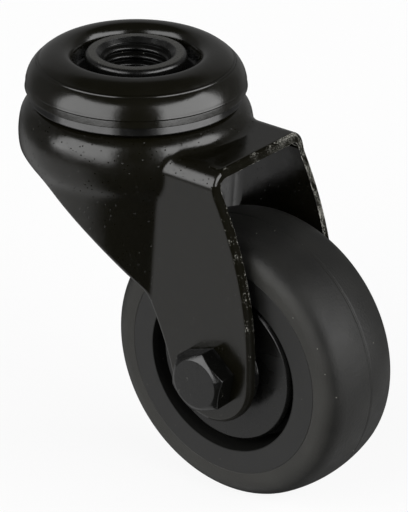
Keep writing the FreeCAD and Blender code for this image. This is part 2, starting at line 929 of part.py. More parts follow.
def make_lock_nut():
    flats = size("bolt_flats")
    corner = flats / as_size(3).root()
    chamfer = size("nut_chamfer")
    collar = nut_ring_radius + size("nut_collar_wall")
    hex_end = nut_end + size("nut_collar_height")
    lip = size("nut_lip")
    body = turned("lock_nut", [
        (bolt_radius, -leg_outer),
        (corner - chamfer, -leg_outer),
        (corner, -leg_outer - chamfer),
        (corner, hex_end + chamfer),
        (corner - chamfer, hex_end),
        (collar, hex_end),
        (collar, nut_ring_end),
        (collar - lip, nut_end),
        (bolt_radius + lip, nut_end),
        (bolt_radius + lip, nut_ring_end),
        (nut_ring_radius, nut_ring_end),
        (nut_ring_radius, nut_ring_top),
        (bolt_radius, nut_ring_top),
    ])
    cut_hexagon(
        body, "lock_nut_flats", flats, size("nut_turn"), -leg_outer,
        size("nut_height") - size("nut_collar_height"))
    return at_axle(body)


def make_lock_nut_ring():
    return at_axle(turned("lock_nut_ring", [
        (bolt_radius, nut_ring_end),
        (nut_ring_radius, nut_ring_end),
        (nut_ring_radius, nut_ring_top),
        (bolt_radius, nut_ring_top),
    ]))


def full_ring(name, radius, pitch, height):
    """A ball ring with no cage, as full of balls as its pitch circle takes."""
    return ball_ring(name, ball_count(radius, pitch, ball_clearance), radius, pitch, height)


nodes = [
    make_kingpin(),
    make_top_cap(),
    make_upper_race(),
    make_dust_seal(),
    make_lower_race(),
    full_ring("upper_balls", upper_ball, upper_pitch, upper_ball_z),
    full_ring("lower_balls", lower_ball, lower_pitch, lower_ball_z),
    make_fork(),
    make_axle_bolt(),
    make_lock_nut(),
    make_lock_nut_ring(),
    make_axle_spacer("axle_spacer_left", 1),
    make_axle_spacer("axle_spacer_right", -1),
    make_thread_guard("thread_guard_left", 1),
    make_thread_guard("thread_guard_right", -1),
    make_tyre(),
    make_wheel_centre(),
    make_bearing_outer_ring(),
    make_bearing_inner_ring(),
    make_shield("bearing_shield_left", 1),
    make_shield("bearing_shield_right", -1),
    make_bearing_cage(),
    at_axle(ball_ring(
        "bearing_balls", ball_count(race_ball, race_pitch, cage_rib), race_ball, race_pitch, ZERO)),
]

doc.recompute()
for item in doc.Objects:
    if "Invalid" in item.State or "Error" in item.State:
        raise RuntimeError(f"{item.Label} failed: {item.State}")
for node in nodes:
    if node.Shape.isNull() or not node.Shape.isValid():
        raise RuntimeError(f"{node.Label} has no valid shape")
for node in nodes:
    node.Shape.exportStep(f"parts/{node.Label}.step")
    print(node.Label, len(node.Shape.Solids), round(node.Shape.Volume, 1))
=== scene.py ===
"""Bolt hole swivel castor: the looks of each piece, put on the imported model.

Sizes are in millimetres. Heights run up from the kingpin's flat top face, along the bolt hole, and
the wheel trails along +X.
"""
import math

import bmesh
import bpy
from mathutils import Matrix, Vector


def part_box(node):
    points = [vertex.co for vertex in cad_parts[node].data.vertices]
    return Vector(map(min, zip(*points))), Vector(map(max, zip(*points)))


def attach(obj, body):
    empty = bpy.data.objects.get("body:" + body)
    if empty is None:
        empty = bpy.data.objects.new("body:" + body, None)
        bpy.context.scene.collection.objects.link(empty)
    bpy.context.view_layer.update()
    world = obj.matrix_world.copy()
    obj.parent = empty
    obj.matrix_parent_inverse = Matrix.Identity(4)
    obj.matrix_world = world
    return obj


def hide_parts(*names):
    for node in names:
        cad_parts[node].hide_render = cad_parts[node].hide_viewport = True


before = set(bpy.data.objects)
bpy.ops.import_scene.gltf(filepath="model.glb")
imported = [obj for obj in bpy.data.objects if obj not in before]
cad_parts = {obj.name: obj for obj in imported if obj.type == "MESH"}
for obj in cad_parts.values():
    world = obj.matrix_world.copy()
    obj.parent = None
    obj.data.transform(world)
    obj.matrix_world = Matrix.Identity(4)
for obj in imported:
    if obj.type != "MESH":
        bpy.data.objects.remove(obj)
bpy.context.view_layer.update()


# Kingpin: a hollow pin turned from steel bar, with an M12 fine thread tapped through it. Its
# collar carries the cap and its foot is riveted over the lower race. It is coated thinly in black,
# greyer and less glossy than the pressed pieces.
MM = 0.001
thread_pitch, core_radius, thread_depth = 1.5, 5.25, 0.75
mouth_radius, shank_radius, collar_radius, rivet_radius = 6.75, 7.4, 8.8, 9.4
cap_seat, rivet_top, foot = -3.75, -14.24, -15.74
mouth_depth, bore_rows = 0.75, 320


def linear(code):
    """An sRGB hex colour as the linear colour that the shaders take."""
    parts = [int(code[i:i + 2], 16) / 255 for i in (1, 3, 5)]
    curve = [p / 12.92 if p <= 0.04045 else ((p + 0.055) / 1.055) ** 2.4 for p in parts]
    return (*curve, 1.0)


def add_node(tree, kind, inputs=None, **settings):
    """A node with its settings. An input is a plain value, or a node or socket to link."""
    node = tree.nodes.new("ShaderNode" + kind)
    for name, value in settings.items():
        setattr(node, name, value)
    for socket, value in (inputs or {}).items():
        if isinstance(value, bpy.types.Node):
            value = value.outputs[0]
        if isinstance(value, bpy.types.NodeSocket):
            tree.links.new(value, node.inputs[socket])
        else:
            node.inputs[socket].default_value = value
    return node


def new_material(name):
    """A bare material, with the place on the object that its patterns are laid out by."""
    material = bpy.data.materials.new(name)
    material.use_nodes = True
    tree = material.node_tree
    tree.nodes.clear()
    return material, tree, add_node(tree, "TexCoord").outputs["Object"]


def grain(tree, place, size, low=0.0, high=1.0, detail=2.0):
    """Soft patches of about this size in millimetres, from a low to a high value."""
    noise = add_node(tree, "TexNoise", {"Vector": place, "Scale": 1 / (size * MM),
                                        "Detail": detail})
    return add_node(tree, "MapRange", {"Value": noise, "From Min": 0.3, "From Max": 0.7,
                                       "To Min": low, "To Max": high})


def specks(tree, place, cell, radius, share):
    """Round specks, one in some of the cells: 1 inside them. Sizes in millimetres."""
    cells = add_node(tree, "TexVoronoi", {"Vector": place, "Scale": 1 / (cell * MM)})
    inside = add_node(tree, "MapRange", {"Value": cells, "From Min": radius / cell,
                                         "From Max": 0.6 * radius / cell})
    lot = add_node(tree, "SeparateColor", {0: cells.outputs["Color"]})
    chosen = add_node(tree, "Math", {0: lot, 1: share}, operation="LESS_THAN")
    return add_node(tree, "Math", {0: inside, 1: chosen}, operation="MULTIPLY")


def tint(tree, share, base, other):
    """A colour that goes from one hex colour to another by a share of 0 to 1."""
    mix = add_node(tree, "Mix", {"Factor": share, 6: linear(base), 7: linear(other)},
                   data_type="RGBA")
    return mix.outputs[2]


def relief(tree, *layers):
    """Patterns of 0 to 1 as bumps, each with its depth in millimetres, one on the other."""
    bump = None
    for height, depth in layers:
        below = {"Normal": bump} if bump else {}
        bump = add_node(tree, "Bump", {"Strength": 1.0, "Distance": depth * MM,
                                       "Height": height, **below})
    return bump


# Turned steel under a thin black coat. The eye sees a softly shining ring, a little greyer than
# the enamel round it, with bare pinholes. They are drawn 0.2 mm wide, coarser than real, so that
# they show. The thread's roots carry painted shade: their specular level is lowered, so they hardly
# shine.
turned_coat, tree, place = new_material("thin_black_coat_on_turned_steel")
facing = add_node(tree, "SeparateXYZ", {0: place.node.outputs["Normal"]})
spot = add_node(tree, "SeparateXYZ", {0: place})
across = add_node(tree, "VectorMath", {0: place, 1: (1.0, 1.0, 0.0)}, operation="MULTIPLY")
reach = add_node(tree, "VectorMath", {0: across}, operation="LENGTH").outputs["Value"]
pinholes = specks(tree, place, cell=0.9, radius=0.13, share=0.08)

# The base plate rubs the flat top outside the bore's mouth.
top_ring = add_node(tree, "MapRange", {"Value": reach, "From Min": 6.7 * MM,
                                       "From Max": 7.0 * MM, "To Max": 0.2})
upward = add_node(tree, "MapRange", {"Value": facing.outputs["Z"], "From Min": 0.9,
                                     "From Max": 0.99})
rubbed = add_node(tree, "Math", {0: top_ring, 1: upward}, operation="MULTIPLY")
bare = add_node(tree, "Math", {0: pinholes, 1: rubbed}, operation="MAXIMUM")

# Painted shade on the roots, which lie past the crests, within the bore and below its mouth.
past_crest, within_bore = 5.4, 6.3
painted_shade_on_roots = add_node(tree, "MapRange", {"Value": reach, "From Min": past_crest * MM,
                                   "From Max": (past_crest + 0.2) * MM})
for source, limit in ((reach, within_bore), (spot.outputs["Z"], -mouth_depth)):
    under = add_node(tree, "Math", {0: source, 1: limit * MM}, operation="LESS_THAN")
    painted_shade_on_roots = add_node(tree, "Math", {0: painted_shade_on_roots, 1: under}, operation="MULTIPLY")
shader = add_node(tree, "BsdfPrincipled", {
    "IOR": 1.5,
    "Base Color": tint(tree, bare, "#0b0b0a", "#6b6a64"),
    "Roughness": grain(tree, place, 1.2, low=0.2, high=0.32),
    "Specular IOR Level": add_node(tree, "MapRange",
                                   {"Value": painted_shade_on_roots, "To Min": 0.5, "To Max": 0.05}),
    "Normal": relief(tree, (grain(tree, place, 0.6), 0.003), (pinholes, 0.01)),
})
add_node(tree, "OutputMaterial", {"Surface": shader})


def rounded(corners, steps=4):
    """An outline of (radius, height, rounding) corners as plain points."""
    points = []
    for index, (radius, height, bend) in enumerate(corners):
        here = Vector((radius, height))
        if not bend:
            points.append((radius, height))
            continue
        before = (Vector(corners[index - 1][:2]) - here).normalized()
        after = (Vector(corners[(index + 1) % len(corners)][:2]) - here).normalized()
        half = before.angle(after) / 2
        centre = here + (before + after).normalized() * bend / math.sin(half)
        start = here + before * bend / math.tan(half) - centre
        end = here + after * bend / math.tan(half) - centre
        for step in range(steps + 1):
            spoke = start.lerp(end, step / steps).normalized() * bend
            points.append(tuple(centre + spoke))
    return points


def upright(across, deep, height):
    """A point turned about the swivel's axis."""
    return (across * MM, deep * MM, height * MM)


def evenly(count):
    """The turns of this many even steps round an axis."""
    return [math.tau * step / count for step in range(count)]


def lathe(name, rows, turns, put, material, node, body):
    """A closed outline turned about an axis, shown for a node. A row may change with the turn."""
    mesh = bpy.data.meshes.new(name)
    points = []
    for turn in turns:
        for row in rows:
            radius, height = row(turn) if callable(row) else row
            points.append(put(radius * math.cos(turn), radius * math.sin(turn), height))
    faces = []
    for spoke in range(len(turns)):
        here = spoke * len(rows)
        there = (spoke + 1) % len(turns) * len(rows)
        for row in range(len(rows)):
            after = (row + 1) % len(rows)
            faces.append((here + row, here + after, there + after, there + row))
    mesh.from_pydata(points, [], faces)
    form = bmesh.new()
    form.from_mesh(mesh)
    bmesh.ops.remove_doubles(form, verts=form.verts, dist=0.002 * MM)
    bmesh.ops.recalc_face_normals(form, faces=form.faces)
    form.to_mesh(mesh)
    form.free()
    mesh.shade_smooth()
    mesh.set_sharp_from_angle(angle=math.radians(75))
    mesh.materials.append(material)
    piece = bpy.data.objects.new(name, mesh)
    bpy.context.scene.collection.objects.link(piece)
    piece.modifiers.new("even_normals", "WEIGHTED_NORMAL").keep_sharp = True
    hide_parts(node)
    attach(piece, body)


def bore(height):
    """A row of the tapped bore, whose radius follows the thread, with a cone at both its ends."""
    def row(turn):
        phase = (height / thread_pitch - turn / math.tau) % 1.0
        flank = 0.5 + 0.5 * math.cos(math.tau * phase)
        cone = mouth_radius - min(-height, height - foot)
        return max(core_radius + thread_depth * flank, cone), height
    return row


lathe("kingpin_turned", rounded([
    (mouth_radius, 0.0, 0.06), (collar_radius, 0.0, 0.8),
    (collar_radius, cap_seat, 0.15), (shank_radius, cap_seat, 0),
    (shank_radius, rivet_top, 0), (rivet_radius, rivet_top, 0.1),
    (rivet_radius, foot, 0.7), (mouth_radius, foot, 0.06),
]) + [bore(foot * (1 - step / bore_rows)) for step in range(1, bore_rows)],
    evenly(180), upright, turned_coat, "kingpin", "head")


# Top cap: one ring pressed from 1.2 mm sheet, rolled in at the kingpin and creased above its
# bulging wall. It is stove enamelled in gloss black, with a little dust under the enamel.
race_seat = -4.95


def arc(middle, height, radius, start, end, steps):
    """Points of an arc in an outline, between two angles in degrees."""
    turns = [math.radians(start + (end - start) * step / steps) for step in range(steps + 1)]
    return [(middle + radius * math.cos(turn), height + radius * math.sin(turn))
            for turn in turns]


def enamel(tree, place, gloss, peel, pit):
    """Dust, roughness in this range, and relief with these depths of orange peel and pits."""
    dust = specks(tree, place, cell=1.5, radius=0.08, share=0.2)
    rough = grain(tree, place, 3.0, *gloss)
    pits = specks(tree, place, cell=0.9, radius=0.16, share=0.35)
    return dust, rough, relief(tree, (grain(tree, place, 1.6), peel),
                               (grain(tree, place, 0.45), peel * 0.35), (pits, -pit), (dust, 0.02))


# Stove enamel on pressed steel. The eye sees deep black with clear reflections that waver a little,
# as the enamel sets with a faint orange peel, and here and there a grain of dust. The grains are
# drawn 0.16 mm wide, coarser than real, so that they show.
cap_enamel, tree, place = new_material("gloss_black_enamel_on_pressed_steel")
dust, rough, peel = enamel(tree, place, (0.14, 0.22), 0.007, 0.004)
shader = add_node(tree, "BsdfPrincipled", {
    "IOR": 1.5,
    "Base Color": tint(tree, dust, "#0b0a05", "#3c3b36"),
    "Roughness": rough,
    "Normal": peel,
})
add_node(tree, "OutputMaterial", {"Surface": shader})

lathe("top_cap_pressed", [
    (shank_radius, cap_seat), (9.0, cap_seat),  # clamped under the kingpin's collar
    *arc(10.2, -3.25, 0.5, -90, 0, 6), *arc(12.9, -1.85, 2.2, 180, 90, 16),  # rolled inner rim
    *arc(12.9, -5.05, 5.4, 90, 46.0, 18),  # crown
    *arc(16.66, -1.58, 0.34, 100, -2, 10),  # ridge of the crease
    *arc(13.787, -5.571, 5.2, 50.5, 9.5, 20), *arc(18.79, -4.79, 0.16, 5, -85, 4),  # wall
    *arc(13.787, -5.571, 4.0, 9.0, 53.9, 10), *arc(12.9, -5.05, 4.2, 43.0, 90, 8),  # inside
    *arc(12.9, -1.85, 1.0, 90, 180, 8), *arc(10.2, -3.25, 1.7, 0, -90, 6),
    (9.0, race_seat), (shank_radius, race_seat),
], evenly(192), upright, cap_enamel, "top_cap", "head")


# Upper race: a pressed plate with the upper balls' groove. Its rim leans out a little and shows
# as the second band, between two fine dark lines. It is enamelled with the cap.
race_foot = -6.15
ball_circle, groove_centre = 14.0, -7.57
lathe("upper_race_pressed", [
    (shank_radius, race_foot), (11.0, race_foot),
    *arc(ball_circle, groove_centre, 2.02, 135.3, 44.7, 12),  # the balls' groove
    (17.0, race_foot), (18.4, race_foot),
    *arc(18.98, -6.03, 0.12, -90, 8, 4), *arc(18.82, -5.09, 0.12, 8, 90, 4),  # leaning rim
    (17.6, race_seat), *arc(ball_circle, groove_centre, 3.22, 54.5, 125.5, 12),
    (11.0, race_seat), (shank_radius, race_seat),
], evenly(192), upright, cap_enamel, "upper_race", "head")


# Dust seal: a moulded ring that keeps dirt out of the upper balls, held under the race's rim. It
# widens to a rounded foot just above the fork and is the third band of the head.
seal_inside, seal_top, seal_foot = 17.0, -6.16, -7.85

# Moulded polypropylene. The eye sees an even satin black that is a little softer than the enamel
# above it, with a faint wave of the mould and a few grains of dust, drawn as coarse as the cap's.
seal_plastic, tree, place = new_material("satin_black_moulded_polypropylene_seal")
dust = specks(tree, place, cell=1.4, radius=0.1, share=0.2)
shader = add_node(tree, "BsdfPrincipled", {
    "IOR": 1.5,
    "Base Color": tint(tree, dust, "#0a0a09", "#3c3b37"),
    "Roughness": grain(tree, place, 2.0, low=0.18, high=0.28),
    "Normal": relief(tree, (grain(tree, place, 1.2), 0.006)),
})
add_node(tree, "OutputMaterial", {"Surface": shader})
lathe("dust_seal_moulded", rounded([
    (seal_inside, seal_top, 0), (18.05, seal_top, 0), (18.5, seal_foot, 0.18),
    (seal_inside, seal_foot, 0.1),
]), evenly(192), upright, seal_plastic, "dust_seal", "head")


# Lower race: a pressed washer with the lower balls' groove, held up by the kingpin's foot. It has
# the cap's enamel. Its edges, like those of the next pieces, are broken as the real ones are.
def dress(name, material, edge=0.12, worn=None):
    """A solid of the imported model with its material, and its sharp edges broken this wide."""
    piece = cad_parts[name]
    piece.data.materials.clear()
    piece.data.materials.append(material)
    piece.modifiers.new("weld", "WELD").merge_threshold = 0.001 * MM
    bevel = piece.modifiers.new("broken_edges", "BEVEL")
    bevel.width = edge * MM
    bevel.segments = 2
    bevel.limit_method = "ANGLE"
    bevel.angle_limit = math.radians(32)
    bevel.harden_normals = True
    if worn:
        piece.data.materials.append(worn)
        bevel.material = 1


dress("lower_race", cap_enamel, 0.1)


# Balls: hardened and polished bearing balls, a full ring above the fork and a full ring below it,
# and seven more in the wheel's bearing. They run in grease.

# Polished bearing steel. The eye sees bright mirrors in the dark gap, some of them a little
# smeared where the film of grease is thicker.
ball_steel, tree, place = new_material("polished_bearing_steel")
shader = add_node(tree, "BsdfPrincipled", {
    "Metallic": 1.0,
    "Base Color": tint(tree, grain(tree, place, 1.5), "#c9c8c6", "#aeb0ae"),
    "Roughness": grain(tree, place, 0.8, low=0.06, high=0.18),
})
add_node(tree, "OutputMaterial", {"Surface": shader})
for name in ("upper_balls", "lower_balls", "bearing_balls"):
    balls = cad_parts[name]
    balls.data.materials.clear()
    balls.data.materials.append(ball_steel)


# Fork: bowl, plate and legs pressed from one 1.7 mm sheet, which the press sheared all round. The
# front edge of the legs runs in one arc from the plate to the axle, and is slightly rolled.
legs_from, plate_edge_from, front_from = 10.4, 26.2, 26.0
plate_underside, bend_ends = -10.9, -13.4
front_arc_centre, front_arc = (-29.25, -45.0), 63.2

# Stove enamel on drawn steel. The eye sees long clear reflections on the smooth faces, with dull
# pits where the sheet was drawn, 0.3 mm wide and so coarser than real. On the sheared edge the coat
# is thin, dull and chipped, most of all on the far leg and towards the top.
fork_enamel, tree, place = new_material("gloss_black_enamel_on_drawn_steel")
dust, rough, peel = enamel(tree, place, (0.15, 0.24), 0.006, 0.03)
facing = add_node(tree, "SeparateXYZ", {0: place.node.outputs["Normal"]})
spot = add_node(tree, "SeparateXYZ", {0: place})
outward, upward, aside = (add_node(tree, "Math", {0: part}, operation="ABSOLUTE")
                          for part in (facing.outputs["Y"], facing.outputs["Z"],
                                       spot.outputs["Y"]))
from_centre = add_node(tree, "VectorMath", {
    0: place, 1: (1.0, 0.0, 1.0), 2: (-front_arc_centre[0] * MM, 0.0, -front_arc_centre[1] * MM),
}, operation="MULTIPLY_ADD")
sweep = add_node(tree, "VectorMath", {0: from_centre}, operation="LENGTH").outputs["Value"]

# Where on the fork a point lies and which way it faces: 1 there and 0 elsewhere.
area = {}
for name, source, test, limit in (
    ("edge_on", outward, "LESS_THAN", 0.12),
    ("leg_face", outward, "GREATER_THAN", 0.96),
    ("plate_face", upward, "GREATER_THAN", 0.96),
    ("steep", upward, "LESS_THAN", 0.7),
    ("ahead", facing.outputs["X"], "GREATER_THAN", 0.85),
    ("legs", aside, "GREATER_THAN", legs_from * MM),
    ("plate_edge", spot.outputs["X"], "GREATER_THAN", plate_edge_from * MM),
    ("front", spot.outputs["X"], "GREATER_THAN", front_from * MM),
    ("past_arc", sweep, "GREATER_THAN", front_arc * MM),
    ("under_plate", spot.outputs["Z"], "LESS_THAN", plate_underside * MM),
    ("under_bend", spot.outputs["Z"], "LESS_THAN", bend_ends * MM),
):
    area[name] = add_node(tree, "Math", {0: source, 1: limit}, operation=test)
for name, operation, first, second in (
    # the sheared edge: square to the sheet, along the legs and the plate's front
    ("sheared", "MAXIMUM", "legs", "plate_edge"),
    ("sheared", "MULTIPLY", "sheared", "edge_on"),
    ("sheared", "MULTIPLY", "sheared", "under_plate"),
    ("sides", "MAXIMUM", "steep", "under_bend"),
    ("sheared", "MULTIPLY", "sheared", "sides"),
    # the rolled strip of the front edge: neither a flat face, nor the end face, nor the bend
    ("rolled", "MAXIMUM", "past_arc", "front"),
    ("pressed", "MAXIMUM", "leg_face", "plate_face"),
    ("bend", "SUBTRACT", "legs", "under_bend"),
    ("flat", "MAXIMUM", "bend", "pressed"),
    ("end_face", "MULTIPLY", "edge_on", "ahead"),
    ("smooth", "MAXIMUM", "end_face", "flat"),
    ("rolled", "SUBTRACT", "rolled", "smooth"),
    ("sheared", "MAXIMUM", "sheared", "rolled"),
):
    area[name] = add_node(tree, "Math", {0: area[first], 1: area[second]}, operation=operation)

# The coat is a little better low on the legs. Pits show only where the sheet was drawn round.
low_leg = add_node(tree, "MapRange", {"Value": spot.outputs["Z"], "From Min": -46 * MM,
                                      "From Max": -32 * MM, "To Min": 0.72})
sheared = add_node(tree, "Math", {0: area["sheared"], 1: low_leg}, operation="MULTIPLY")
drawn = add_node(tree, "Math", {0: area["pressed"], 1: 0.5}, operation="LESS_THAN")
pits = specks(tree, place, cell=0.8, radius=0.17, share=0.75)
pits = add_node(tree, "Math", {0: pits, 1: drawn}, operation="MULTIPLY")
dull = add_node(tree, "Math", {0: sheared, 1: pits}, operation="MAXIMUM")

# Chips of a quarter of a millimetre lie in clusters, more on the far leg and none at the lowest
# end. They show fully on the rolled strip, and on the rest of the edge mostly on the far leg.
chips = add_node(tree, "Math", {0: grain(tree, place, 0.24, detail=5.0),
                                1: grain(tree, place, 2.4, low=0.2)}, operation="MULTIPLY")
far_leg = add_node(tree, "MapRange", {"Value": spot.outputs["Y"], "From Min": -8 * MM,
                                      "From Max": 10 * MM, "To Min": -0.14, "To Max": 0.16})
lowest = add_node(tree, "MapRange", {"Value": spot.outputs["Z"], "From Min": -47 * MM,
                                     "From Max": -50 * MM, "To Max": 0.3})
chips = add_node(tree, "Math", {0: chips, 1: far_leg}, operation="ADD")
chips = add_node(tree, "Math", {0: chips, 1: lowest}, operation="SUBTRACT")
chips = add_node(tree, "MapRange", {"Value": chips, "From Min": 0.38, "From Max": 0.62})
wear = add_node(tree, "MapRange", {"Value": spot.outputs["Y"], "From Min": -8 * MM,
                                   "From Max": 10 * MM, "To Min": 0.03, "To Max": 0.5})
wear = add_node(tree, "Math", {0: area["rolled"], 1: wear}, operation="MAXIMUM")
for limit in (sheared, chips):
    wear = add_node(tree, "Math", {0: wear, 1: limit}, operation="MULTIPLY")
faint_dust = add_node(tree, "Math", {0: dust, 1: 0.5}, operation="MULTIPLY")
bare = add_node(tree, "Math", {0: faint_dust, 1: wear}, operation="MAXIMUM")
shader = add_node(tree, "BsdfPrincipled", {
    "IOR": 1.5,
    "Base Color": tint(tree, bare, "#0b0a05", "#7c7b75"),
    "Roughness": add_node(tree, "Math", {0: sheared, 1: 0.45, 2: rough},
                          operation="MULTIPLY_ADD"),
    "Specular IOR Level": add_node(tree, "MapRange",
                                   {"Value": dull, "To Min": 0.5, "To Max": 0.02}),
    "Normal": peel,
})
add_node(tree, "OutputMaterial", {"Surface": shader})

# Enamel on the sheet's sheared corners, which stays thin there. The eye sees a rough, nearly matte
# line, broken by grey chips of half a millimetre.
chipped_enamel, tree, place = new_material("chipped_enamel_on_sheared_steel")
chips = add_node(tree, "Math", {0: grain(tree, place, 0.5, detail=4.0),
                                1: grain(tree, place, 2.2)}, operation="MULTIPLY")
bare = add_node(tree, "MapRange", {"Value": chips, "From Min": 0.2, "From Max": 0.5})
shader = add_node(tree, "BsdfPrincipled", {
    "IOR": 1.5,
    "Base Color": tint(tree, bare, "#10100e", "#94938c"),
    "Roughness": 0.45,
    "Specular IOR Level": 0.2,
    "Normal": relief(tree, (grain(tree, place, 0.3), 0.03)),
})
add_node(tree, "OutputMaterial", {"Surface": shader})
dress("fork", fork_enamel, 0.16, chipped_enamel)


# Axle bolt: an M6 hexagon bolt, cold forged with a chamfered head and rolled thread, in black
# oxide. The head bears on the leg and the thread comes out of the lock nut behind.
trail, axle_drop = 26.15, 48.6
head_half_width, head_corner, head_top, head_bearing = 5.0, math.radians(19.3), 16.4, 12.4
chamfer_inside, chamfer_slope = 4.35, math.tan(math.radians(30))
bolt_radius, bolt_core, bolt_thread_depth, bolt_pitch = 3.0, 2.4, 0.58, 1.0
thread_end, bolt_tip = -8.6, -20.1
thread_rows = 120


def on_axle(across, high, along):
    """A point turned about the wheel's axle; along it the bolt head's side is positive."""
    return ((trail + across) * MM, -along * MM, (high - axle_drop) * MM)


def hexagon(turn, inset=0.0):
    """The radius of the bolt's head at a turn, with its six flats set in by this much."""
    sixth = math.radians(60)
    offset = (turn - head_corner + sixth / 2) % sixth - sixth / 2
    return (head_half_width - inset) / math.cos(sixth / 2 - abs(offset))


def chamfered(turn, inset, drop):
    """A row of the head's turned chamfer, which falls away towards the corners."""
    reach = hexagon(turn) - inset
    return reach, head_top - max(reach - chamfer_inside, 0.0) * chamfer_slope - drop


def bolt_thread(height):
    """A row of the bolt's thread, with the chamfer of its tip."""
    def row(turn):
        phase = (height / bolt_pitch - turn / math.tau) % 1.0
        flank = 0.5 - 0.5 * math.cos(math.tau * phase)
        tip_cone = bolt_core + height - bolt_tip
        return min(bolt_core + bolt_thread_depth * flank, tip_cone), height
    return row


# Black oxide on cold forged steel. The eye sees an oily black head with slightly uneven faces and
# rubbed grey patches. The narrow sides of the hexagon carry painted shade: their specular level is
# lowered, so they shine less than its face.
oxide, tree, place = new_material("black_oxide_on_forged_steel")
facing = add_node(tree, "SeparateXYZ", {0: place.node.outputs["Normal"]})
rub = add_node(tree, "Math", {0: grain(tree, place, 0.6, detail=4.0),
                              1: grain(tree, place, 2.5)}, operation="MULTIPLY")
rub = add_node(tree, "MapRange", {"Value": rub, "From Min": 0.6, "From Max": 0.8,
                                  "To Max": 0.4})
# Painted shade: the specular level falls where a face turns away from the axle's line, on the
# hexagon's sides, the shank and the thread.
end_on = add_node(tree, "Math", {0: facing.outputs["Y"]}, operation="ABSOLUTE")
shader = add_node(tree, "BsdfPrincipled", {
    "IOR": 1.5,
    "Base Color": tint(tree, rub, "#080807", "#5f5e59"),
    "Roughness": grain(tree, place, 0.9, low=0.16, high=0.28),
    "Specular IOR Level": add_node(tree, "MapRange", {"Value": end_on, "From Min": 0.1,
                                                      "From Max": 0.4, "To Min": 0.12,
                                                      "To Max": 0.5}),
    "Normal": relief(tree, (grain(tree, place, 0.8), 0.01),
                     (grain(tree, place, 0.25), 0.004)),
})
add_node(tree, "OutputMaterial", {"Surface": shader})

# The turns lie close at each of the hexagon's corners and wide on its flats.
flat_steps = (0.5, 1.6, 4, 8, 13, 18, 24, 30, 36, 42, 47, 52, 56, 58.4, 59.5)
hexagon_turns = [head_corner + math.radians(60 * side + step)
                 for side in range(6) for step in flat_steps]
thread_length = thread_end - bolt_tip
lathe("axle_bolt_forged", [
    (0.0, head_top), (2.0, head_top), (4.2, head_top), (4.33, 16.385), (4.42, 16.35),  # face
    lambda turn: chamfered(turn, 0.12, 0.0), lambda turn: chamfered(turn, 0.03, 0.06),
    lambda turn: chamfered(turn, 0.0, 0.16),
    lambda turn: (hexagon(turn), 13.4), lambda turn: (hexagon(turn), 12.55),  # flats
    lambda turn: (hexagon(turn, 0.05), 12.44), lambda turn: (hexagon(turn, 0.15), head_bearing),
    (3.2, head_bearing), (bolt_radius, 12.2), (bolt_radius, 8.0),  # under the head, then shank
    (bolt_radius, 0.0), (bolt_radius, -8.4),
    *[bolt_thread(thread_end - thread_length * step / thread_rows)
      for step in range(thread_rows + 1)],
    (0.0, bolt_tip),
], hexagon_turns, on_axle, oxide, "axle_bolt", "swivel_fork")


# Lock nut: an M6 hexagon nut in black oxide, with a nylon ring pressed in its collar. The ring
# grips the bolt's thread so that the nut stays where it is.
dress("lock_nut", oxide)

# Natural moulded nylon. The eye sees a waxy cream ring that lets a little light in.
nylon, tree, place = new_material("natural_moulded_nylon")
shader = add_node(tree, "BsdfPrincipled", {
    "IOR": 1.53,
    "Base Color": tint(tree, grain(tree, place, 1.5), "#d8d6cc", "#cbc8bc"),
    "Roughness": 0.4,
    "Subsurface Weight": 0.2,
    "Subsurface Scale": 0.5 * MM,
    "Normal": relief(tree, (grain(tree, place, 0.5), 0.01)),
})
add_node(tree, "OutputMaterial", {"Surface": shader})
dress("lock_nut_ring", nylon, 0.08)


# Axle spacers: top hats turned from mild steel and zinc plated. The bolt clamps them between the
# legs and the wheel bearing's inner ring.
lathe_feed = 0.2

# Bright zinc plate on turned steel. The eye sees a cool silver with soft highlights, drawn out by
# the tool's fine rings. Their real pitch is near 0.1 mm and is drawn at 0.2 mm so that it shows.
zinc, tree, place = new_material("bright_zinc_plate_on_turned_steel")
rings = add_node(tree, "TexWave", {"Vector": place, "Scale": 0.5 / (lathe_feed * MM),
                                   "Distortion": 1.0}, bands_direction="Y")
shader = add_node(tree, "BsdfPrincipled", {
    "Metallic": 1.0,
    "Base Color": tint(tree, grain(tree, place, 2.5), "#b9bbbd", "#9fa3a6"),
    "Roughness": grain(tree, place, 0.7, low=0.28, high=0.42),
    "Normal": relief(tree, (rings.outputs["Fac"], 0.004),
                     (grain(tree, place, 0.3), 0.004)),
})
add_node(tree, "OutputMaterial", {"Surface": shader})
for name in ("axle_spacer_left", "axle_spacer_right"):
    dress(name, zinc)


# Thread guards: moulded black discs on the spacers that keep thread and hair off the bearing.
# They stand still with the fork while the wheel turns round them.

# Moulded polypropylene. The eye sees a smooth satin black disc with soft broad reflections and a
# faint flow of the moulding. Its grains of dust are drawn 0.2 mm wide so that they show.
guard_plastic, tree, place = new_material("satin_black_moulded_polypropylene_guard")
dust = specks(tree, place, cell=1.8, radius=0.12, share=0.3)
shader = add_node(tree, "BsdfPrincipled", {
    "IOR": 1.46,
    "Base Color": tint(tree, dust, "#0c0c0b", "#4a4945"),
    "Roughness": grain(tree, place, 3.0, low=0.2, high=0.34),
    "Normal": relief(tree, (grain(tree, place, 4.0), 0.01),
                     (grain(tree, place, 0.4), 0.003)),
})
add_node(tree, "OutputMaterial", {"Surface": shader})
for name in ("thread_guard_left", "thread_guard_right"):
    dress(name, guard_plastic)


# Wheel bearing: a small ball bearing pressed into the hub, with ground steel rings, a pressed cage
# and two thin shields. The rings have the balls' steel, the sheet pieces are zinc plated.
for name in ("bearing_outer_ring", "bearing_inner_ring"):
    dress(name, ball_steel, 0.15)
for name in ("bearing_cage", "bearing_shield_left", "bearing_shield_right"):
    dress(name, zinc, 0.06)


# Wheel centre: moulded black plastic, hub, web and rim in one, with the bearing pressed into it.
# Only a ring of its side shows, between the thread guard and the tyre.
shaded_radius, open_radius = 15.2, 15.45
